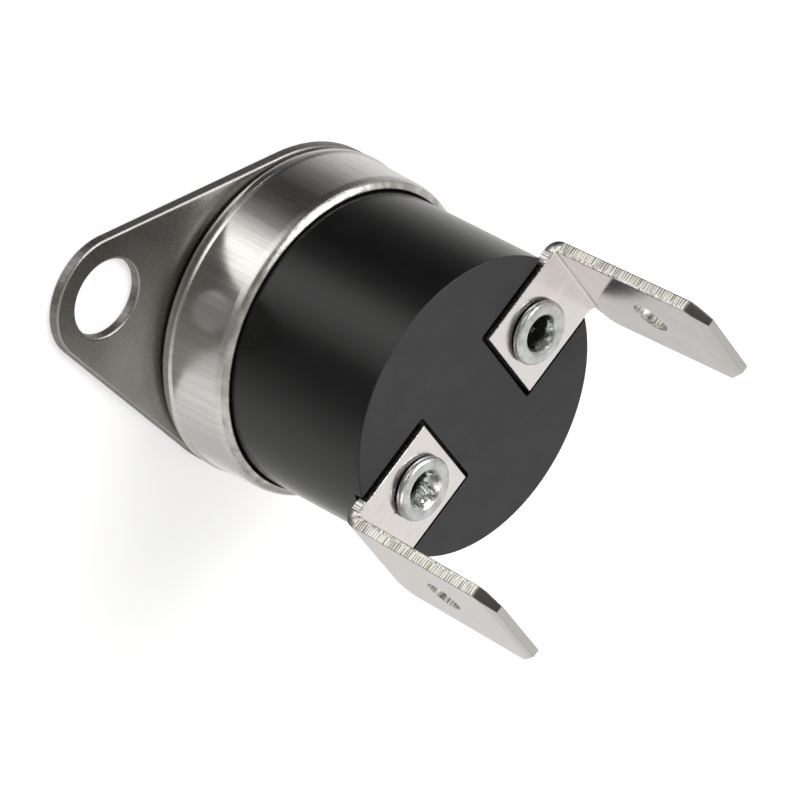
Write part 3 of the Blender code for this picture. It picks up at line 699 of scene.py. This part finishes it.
for face in bm.faces:
    on_end = face.normal.z > 0.7 and face.calc_center_median().z > FACE_Z - 0.2 * MM
    face.material_index = 1 if on_end else 0
finished("moulded_body", bm, [phenolic_side, phenolic_end], "switch_body", "housing")

# %% [markdown]
# ## Measures of the flat strip
# Each terminal is blanked from brass strip, plated with tin and bent up at the body's edge. It is modelled in
# the order in which it is made: the flat blank with its holes, the raised thickness, the rounded punch edges,
# the coined tip, and last the bend. Modelling it already bent would be shorter, but then the punched edge
# and the lines on it would have to be led round the bend by hand. All lengths are measured along the strip,
# from the foot's free end.

# %% Places along the flat strip
STRIP = 0.63 * MM
TAB_WIDTH = 6.35 * MM
TAB_LENGTH = 9.4 * MM
TAB_LEAN = math.radians(1.2)
TAB_BEND = 0.1 * MM
TAB_PLANE = NECK_RADIUS + 0.24 * MM
TIP_CUT = 1.15 * MM
FOOT_TOP = FACE_Z - RECESS_DEPTH + SEAT_GAP + STRIP

FLUSH = FOOT_WIDTH / 2
FAR = FLUSH - TAB_WIDTH
BEND_AT = TAB_PLANE - TAB_BEND - FOOT_START
BEND_LENGTH = TAB_BEND * (math.pi / 2 - TAB_LEAN)
TIP = BEND_AT + BEND_LENGTH + TAB_LENGTH - TAB_BEND
FILLET = 0.5 * MM
SHOULDER = TAB_WIDTH - FOOT_WIDTH - FILLET
NECK_END = TAB_PLANE - 0.55 * MM - FOOT_START
print("flat strip", round(TIP / MM, 2), "mm long")

# %% [markdown]
# ## Finish of the tin plate
# Tin plate on rolled brass is pale and faintly warm, with soft clouds and a few fine rubs along the strip.
# The pattern reads the point's place on the flat strip, kept in an attribute before the bend, so that it
# follows the metal round the bend.


# %% Tin plate
def tinned_strip(name, colour, paler, roughness):
    """Tin plate on rolled brass: pale, faintly warm, with soft clouds and a few fine rubs."""
    material, tree, shader = new_finish(name, colour, roughness, 1.0)
    strip = add(tree, "Attribute", out="Vector", attribute_name="flat_place")
    along_strip = add(tree, "Mapping", {"Vector": strip, "Scale": (0.08, 1, 1)})
    rubs = add(tree, "TexNoise", {"Vector": along_strip, "Scale": 9 / MM})
    clouds = add(tree, "TexNoise", {"Vector": strip, "Scale": 0.55 / MM, "Detail": 4})
    grain = add(tree, "TexNoise", {"Vector": strip, "Scale": 18 / MM})
    tint = two_tone(tree, clouds, 0.35, 0.65, colour, paler)
    rubbed = darkened(tree, tint, rubs, 0.6, 0.75, 0.9)
    tree.links.new(rubbed, shader.inputs["Base Color"])
    gloss = add(tree, "MapRange", (clouds, 0.3, 0.7, roughness - 0.05, roughness + 0.08))
    tree.links.new(gloss, shader.inputs["Roughness"])
    relief = add(tree, "Bump", {"Height": grain, "Distance": 0.0012 * MM})
    tree.links.new(relief, shader.inputs["Normal"])
    return material


tin = tinned_strip("tin_plated_brass", "e2dcdb", "eae5e4", 0.16)
print("flat faces of the terminals:", tin.name)

# %% [markdown]
# ## Finish of the cut edge
# The punch leaves bright burnished lines across the strip's edge and a torn, speckled band on the inner side.
# The bend stretches the outer side dull, painted shade darkens the foot's edge where it lies in its recess,
# and the coining die leaves the tip's edge smooth. The lines are a sine wave along the edge whose phase a
# noise pulls about. The other states are masks over the place on the strip, laid over the lines one after the
# other.

# %% Cut edge of the strip
# The real lines are some 0.05 mm apart, too fine to show in the render, so they are drawn three times coarser
LINE_PITCH = 0.155 * MM


def edge_pattern(tree):
    """The cut edge's wavy lines, their strength, the torn specks and the share of the torn band."""
    strip = add(tree, "Attribute", out="Vector", attribute_name="flat_place")
    places = add(tree, "SeparateXYZ", (strip,)).node.outputs
    run = add(tree, "VectorMath", (strip, (1, 1, 0)), "Value", operation="DOT_PRODUCT")
    across = add(tree, "Mapping", {"Vector": strip, "Scale": (1, 1, 0.12)})
    wander = add(tree, "TexNoise", {"Vector": across, "Scale": 2.2 / MM, "Detail": 3})
    turns = add(tree, "Math", (run, 2 * math.pi / LINE_PITCH), operation="MULTIPLY")
    phase = add(tree, "Math", (wander, 16.0, turns), operation="MULTIPLY_ADD")
    wave = add(tree, "Math", (phase,), operation="SINE")
    uneven = add(tree, "TexNoise", {"Vector": across, "Scale": 5 / MM, "Detail": 3})
    lines = add(tree, "Math", (uneven, 5.0, wave), operation="MULTIPLY_ADD")
    tears = add(tree, "TexNoise", {"Vector": strip, "Scale": 8 / MM, "Detail": 3})
    depth = add(tree, "Math", (uneven, 0.2 * MM, places["Z"]), operation="MULTIPLY_ADD")
    torn = add(tree, "MapRange", (depth, 0.50 * MM, 0.62 * MM, 0, 1))
    return places["X"], depth, wave, lines, tears, torn


def sheared_strip(name):
    """The cut edge: burnished lines, a torn inner side, dull in the bend, painted shade on the foot, smooth
    at the coined tip.
    """
    material, tree, shader = new_finish(name, "c9c2b2", 0.34, 1.0)
    length, depth, wave, lines, tears, torn = edge_pattern(tree)
    # painted shade on the foot's edge, where it lies in its recess
    foot_painted_shade = add(tree, "MapRange", (length, NECK_END - 0.2 * MM, NECK_END, 0.65, 0))
    into_bend = add(tree, "MapRange", (length, BEND_AT - 0.12 * MM, BEND_AT, 0, 1))
    bend_end = BEND_AT + BEND_LENGTH
    past_bend = add(tree, "MapRange", (length, bend_end, bend_end + 0.12 * MM, 1, 0))
    outer_side = add(tree, "MapRange", (depth, 0.30 * MM, 0.45 * MM, 0.85, 0))
    in_bend = add(tree, "Math", (into_bend, past_bend), operation="MULTIPLY")
    stretched = add(tree, "Math", (in_bend, outer_side), operation="MULTIPLY")
    coin_from = TIP - TIP_CUT
    coined = add(tree, "MapRange", (length, coin_from - 0.04 * MM, coin_from + 0.08 * MM, 0, 1))
    rough = two_tone(tree, tears, 0.36, 0.6, "8f8d84", "f4f3ee")
    colour = two_tone(tree, lines, 1.2, 3.1, "7d7b71", "efede5")
    # the first colour laid over is the painted shade of the foot's edge in its recess
    for share, laid_over in (
        (foot_painted_shade, hex_colour("3d3b37")),
        (torn, rough),
        (stretched, hex_colour("4a4843")),
        (coined, hex_colour("bcbbb7")),
    ):
        colour = add(tree, "Mix", {0: share, 6: colour, 7: laid_over}, 2, data_type="RGBA")
    tree.links.new(colour, shader.inputs["Base Color"])
    gloss = add(tree, "MapRange", (coined, 0, 1, 0.34, 0.14))
    tree.links.new(gloss, shader.inputs["Roughness"])
    both = add(tree, "Math", (tears, torn, wave), operation="MULTIPLY_ADD")
    left = add(tree, "MapRange", (coined, 0, 1, 1, 0))
    height = add(tree, "Math", (both, left), operation="MULTIPLY")
    relief = add(tree, "Bump", {"Height": height, "Distance": 0.003 * MM})
    tree.links.new(relief, shader.inputs["Normal"])
    return material


cut_brass = sheared_strip("sheared_brass_edge")
print("lines on the cut edge every", round(LINE_PITCH / MM, 3), "mm")

# %% [markdown]
# ## Flat blank of a terminal
# The foot is narrower than the tab, and both are flush on one side. On the other side the strip widens in a
# small fillet and a quarter round. The tip's corners are cut, and the tab has a hole for the dimple of its
# receptacle.

# %% Flat blank
TAB_HOLE_RADIUS = 0.96 * MM
TAB_HOLE_FROM_TIP = 4.85 * MM
TIP_FAR_INSET = 1.15 * MM
TIP_NEAR_INSET = 0.8 * MM


def flat_blank():
    """The outline of the flat strip with its two holes; X is along the strip and Y across it."""
    bm = bmesh.new()
    first = bm.verts.new((0, FLUSH, 0))
    foot = bm.verts.new((0, -FLUSH, 0))
    bm.edges.new((first, foot))
    neck = bm.verts.new((NECK_END, -FLUSH, 0))
    bm.edges.new((foot, neck))
    turn_in = swept(bm, neck, (NECK_END, -FLUSH - FILLET), -90, 8)
    last = swept(bm, turn_in, (NECK_END + FILLET + SHOULDER, -FLUSH - FILLET), 90, 12)
    for x, y in (
        (TIP - TIP_CUT, FAR),
        (TIP, FAR + TIP_FAR_INSET),
        (TIP, FLUSH - TIP_NEAR_INSET),
        (TIP - TIP_CUT, FLUSH),
    ):
        corner = bm.verts.new((x, y, 0))
        bm.edges.new((last, corner))
        last = corner
    bm.edges.new((last, first))
    rivet_at = Matrix.Translation((RIVET_AT - FOOT_START, 0, 0))
    bmesh.ops.create_circle(bm, segments=64, radius=RIVET_HOLE, matrix=rivet_at)
    hole_at = Matrix.Translation((TIP - TAB_HOLE_FROM_TIP, (FOOT_WIDTH - TAB_WIDTH) / 2, 0))
    bmesh.ops.create_circle(bm, segments=56, radius=TAB_HOLE_RADIUS, matrix=hole_at)
    return bm


print("tab hole", round(2 * TAB_HOLE_RADIUS / MM, 2), "mm wide,", round(TAB_HOLE_FROM_TIP / MM, 2),
      "mm from the tip")

# %% [markdown]
# ## Bending and coining
# The blank gets its thickness and the rounded edges of the punch. It is then cut across in narrow bands where
# it will bend, because only a vertex can move. Last, each vertex gets its place: the tip is squeezed thinner
# towards its end, as the coining die does, and the bend wraps the strip round its inner radius.

# %% Bend
BEND_BANDS = 12
COIN_LENGTH = 0.75 * MM
COINED_STRIP = 0.44 * MM
OUTER_ROUND = 0.07 * MM
INNER_ROUND = 0.045 * MM


def bent(length, height):
    """Where the bend puts a point of the strip: its distance from the axis and its height."""
    if length <= BEND_AT:
        return FOOT_START + length, FOOT_TOP - STRIP + height
    radius = TAB_BEND + STRIP - height
    angle = min(length - BEND_AT, BEND_LENGTH) / TAB_BEND
    run = max(length - BEND_AT - BEND_LENGTH, 0.0)
    distance = FOOT_START + BEND_AT + radius * math.sin(angle) + run * math.cos(angle)
    return distance, FOOT_TOP + TAB_BEND - radius * math.cos(angle) + run * math.sin(angle)


def terminal(name, sign, node):
    """One terminal; the sign tells its side of the axis, and the two are mirror images."""
    bm = flat_blank()
    filled_and_raised(bm, STRIP)
    for face in bm.faces:
        face.material_index = 0 if abs(face.normal.z) > 0.5 else 1
    bevel(bm, edges_at(bm, 0.0), OUTER_ROUND, 4)
    bevel(bm, edges_at(bm, STRIP), INNER_ROUND, 3)
    coin_from = TIP - COIN_LENGTH
    cuts = [BEND_AT + BEND_LENGTH * i / BEND_BANDS for i in range(BEND_BANDS + 1)]
    for cut in cuts + [coin_from]:
        everything = list(bm.verts) + list(bm.edges) + list(bm.faces)
        bmesh.ops.bisect_plane(bm, geom=everything, plane_co=(cut, 0, 0), plane_no=(1, 0, 0))
    keep = bm.verts.layers.float_vector.new("flat_place")
    for vert in bm.verts:
        vert[keep] = vert.co
        length, across, height = vert.co
        coined = max(length - coin_from, 0.0) / COIN_LENGTH
        height = STRIP / 2 + (height - STRIP / 2) * (1 + (COINED_STRIP / STRIP - 1) * coined)
        distance, z = bent(length, height)
        vert.co = (*on_line(sign * distance, across), z)
    bmesh.ops.recalc_face_normals(bm, faces=bm.faces)
    finished(name, bm, [tin, cut_brass], "switch_body", node)


terminal("arm_side_tab", 1, "arm_terminal")
terminal("plate_side_tab", -1, "plate_terminal")

# %% [markdown]
# ## Finish of the rivets
# The rivets are zinc-plated steel. The tool that rolls their end outwards draws the plating out to small dull
# patches. Painted shade darkens the colour where the ring meets the foot and deep in the bore, as a mask over
# the height. The bore has been crumpled, so its bump is deep and coarse.


# %% Plated rivet
def plated_rivet(name, colour, darker, roughness, per_mm, unevenness, shade_full_at, shade_gone_at):
    """Plated steel that a rolling tool has drawn out: small dull patches, and painted shade low down."""
    material, tree, shader = new_finish(name, colour, roughness, 1.0)
    place = add(tree, "TexCoord", out="Object")
    grain = add(tree, "TexNoise", {"Vector": place, "Scale": per_mm / MM, "Detail": 1.5})
    patches = add(tree, "TexNoise", {"Vector": place, "Scale": 1.8 / MM, "Detail": 3})
    tint = two_tone(tree, patches, 0.4, 0.65, colour, darker)
    height = add(tree, "SeparateXYZ", (place,), "Z")
    # painted shade: the colour darkens towards the bottom, down to near black where the ring meets the foot
    # or deep in the bore
    painted_shade = add(tree, "MapRange", (height, shade_full_at, shade_gone_at, 0.8, 0))
    shaded_tint = add(tree, "Mix", {0: painted_shade, 6: tint, 7: hex_colour("2b2b2a")}, 2, data_type="RGBA")
    tree.links.new(shaded_tint, shader.inputs["Base Color"])
    gloss = add(tree, "MapRange", (grain, 0.3, 0.7, roughness - 0.08, roughness + 0.1))
    tree.links.new(gloss, shader.inputs["Roughness"])
    relief = add(tree, "Bump", {"Height": grain, "Distance": unevenness})
    tree.links.new(relief, shader.inputs["Normal"])
    return material


# the ring's colour gets painted shade just above the foot it sits on, and the bore's deep down
rivet_finish = plated_rivet(
    "plated_rivet_steel", "d6d8d7", "b9bcbb", 0.3, 9, 0.008 * MM, FOOT_TOP + 0.06 * MM, FOOT_TOP + 0.3 * MM
)
bore_finish = plated_rivet(
    "rivet_bore_painted_shade", "d8dad8", "8f908e", 0.2, 1.8, 0.1 * MM, FOOT_TOP - 2.4 * MM, FOOT_TOP - 0.2 * MM
)
print("rivet finishes:", rivet_finish.name, bore_finish.name)

# %% [markdown]
# ## Mouths of the rivets
# A semi-tubular rivet is hollow at one end. Rolling folds the wall of its mouth into petals, and no two
# mouths come out alike: one stays open, and the other is closed in further. The turned mouth is drawn in
# between five creases by moving its vertices. Sculpting would give finer folds, but a few waves of fixed
# phase give the same mouth on each run.

# %% Mouths of the rivets
# Depth below the top and radius in mm, down the mouth and the bore
OPEN_MOUTH = ((0.0, 1.0), (0.3, 0.88), (0.6, 0.82), (1.0, 0.8), (2.4, 0.8), (2.8, 0.0))
CLOSED_MOUTH = ((0.0, 1.04), (0.3, 0.9), (0.6, 0.76), (1.0, 0.64), (2.4, 0.5), (2.8, 0.0))
MOUTH_REACH = 1.12 * MM
PRESSED_FROM = 0.1 * MM
PRESSED_OVER = 0.5 * MM
PETALS = 5


def press_petals(bm, centre, top, depth):
    """Draw the mouth's wall in between uneven creases, more the deeper it lies."""
    for vert in bm.verts:
        away = Vector((vert.co.x - centre[0], vert.co.y - centre[1]))
        below = min(max(top - vert.co.z - PRESSED_FROM, 0.0) / PRESSED_OVER, 1.0)
        if 0 < away.length < MOUTH_REACH and below > 0:
            angle = math.atan2(away.y, away.x)
            swell = abs(math.sin(PETALS / 2 * angle + 0.4)) * (1 + 0.4 * math.sin(angle + 2))
            away *= 1 - depth * below * swell
            vert.co.x, vert.co.y = centre[0] + away.x, centre[1] + away.y


print("mouths", 2 * OPEN_MOUTH[0][1], "and", 2 * CLOSED_MOUTH[0][1], "mm wide at the top")

# %% [markdown]
# ## Rivets
# Each rivet has a flat head inside under a washer, a shank through the boss, and the rolled ring that holds
# the foot. The ring is nearly round in section, so its three corners get large radii.

# %% Rivets
HEAD_RADIUS = 1.6 * MM
HEAD_THICKNESS = 0.5 * MM
SHANK_RADIUS = 1.2 * MM
RING_RADIUS = 1.67 * MM
RING_SEAT = FOOT_TOP + SEAT_GAP
BORE_RADIUS = 0.93 * MM
BORE_DEPTH = 2.9 * MM

for name, sign, node, mouth, pressed in (
    ("arm_side_rivet", 1, "arm_rivet", OPEN_MOUTH, 0.08),
    ("plate_side_rivet", -1, "plate_rivet", CLOSED_MOUTH, 0.18),
):
    centre = on_line(sign * RIVET_AT)
    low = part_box(node)[0].z
    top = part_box(node)[1].z
    section = [
        (0, low),
        (HEAD_RADIUS, low),
        (HEAD_RADIUS, low + HEAD_THICKNESS),
        (SHANK_RADIUS, low + HEAD_THICKNESS),
        (SHANK_RADIUS, RING_SEAT),
        (RING_RADIUS, RING_SEAT),
        (RING_RADIUS, top),
    ] + [(radius * MM, top - depth * MM) for depth, radius in mouth]
    bm = turned(section, 120, centre)
    for corner, radius, segments in ((5, 0.15, 4), (6, 0.24, 8), (7, 0.14, 6)):
        round_ring(bm, section[corner], radius * MM, segments, centre)
    press_petals(bm, centre, top, pressed)
    bm.normal_update()
    for face in bm.faces:
        middle = face.calc_center_median()
        off_axis = math.hypot(middle.x - centre[0], middle.y - centre[1])
        face.material_index = 1 if off_axis < BORE_RADIUS and middle.z > top - BORE_DEPTH else 0
    finished(name, bm, [rivet_finish, bore_finish], "switch_body", node)

# %% [markdown]
# ## Pieces inside
# The working parts are hidden under the body. Their CAD shapes are already right, so they only get the finish
# of the real ones: rolled strip for the disc, the arm, the contact plate and the washers, a brown
# fibre-filled moulding for the pin's guide, a white unglazed ceramic pin, and silver contacts.


# %% Finishes of the inner pieces
def rolled_strip(name, colour, darker, roughness):
    """Rolled strip: fine lines along the rolling direction that vary its colour and gloss."""
    material, tree, shader = new_finish(name, colour, roughness, 1.0)
    place = add(tree, "TexCoord", out="Object")
    rolling = add(tree, "Mapping", {"Vector": place, "Scale": (1, 0.06, 1)})
    lines = add(tree, "TexNoise", {"Vector": rolling, "Scale": 8 / MM})
    tint = two_tone(tree, lines, 0.35, 0.65, darker, colour)
    tree.links.new(tint, shader.inputs["Base Color"])
    gloss = add(tree, "MapRange", (lines, 0.3, 0.7, roughness - 0.05, roughness + 0.08))
    tree.links.new(gloss, shader.inputs["Roughness"])
    relief = add(tree, "Bump", {"Height": lines, "Distance": 0.003 * MM})
    tree.links.new(relief, shader.inputs["Normal"])
    return material


def filled_body(name, colour, darker, roughness, per_mm):
    """A moulding or ceramic with a filler whose grains are some tenths of a millimetre."""
    material, tree, shader = new_finish(name, colour, roughness)
    place = add(tree, "TexCoord", out="Object")
    filler = {"Vector": place, "Scale": per_mm / MM, "Detail": 4, "Roughness": 0.6}
    grains = add(tree, "TexNoise", filler)
    tint = two_tone(tree, grains, 0.35, 0.65, darker, colour)
    tree.links.new(tint, shader.inputs["Base Color"])
    relief = add(tree, "Bump", {"Height": grains, "Distance": 0.01 * MM})
    tree.links.new(relief, shader.inputs["Normal"])
    return material


brass_strip = rolled_strip("rolled_brass", "ccb57a", "b89f63", 0.33)
silver_alloy = rolled_strip("silver_contact_alloy", "e8e6e3", "d2cfca", 0.28)
inner_finishes = {
    "bimetal_disc": rolled_strip("bimetal_strip", "9e9990", "85807a", 0.36),
    "pin_guide": filled_body("fibre_filled_phenolic", "614026", "4b311d", 0.6, 3),
    "transfer_pin": filled_body("unglazed_ceramic", "e6e3db", "d6d2c8", 0.55, 6),
    "contact_arm": rolled_strip("spring_copper_alloy", "d4a67d", "bd8d64", 0.34),
    "moving_contact": silver_alloy,
    "fixed_contact": silver_alloy,
    "fixed_contact_plate": brass_strip,
    "arm_washer": brass_strip,
    "plate_washer": brass_strip,
}
for node, material in inner_finishes.items():
    nodes[node].data.materials.clear()
    nodes[node].data.materials.append(material)
print("finished inside:", sorted(inner_finishes))
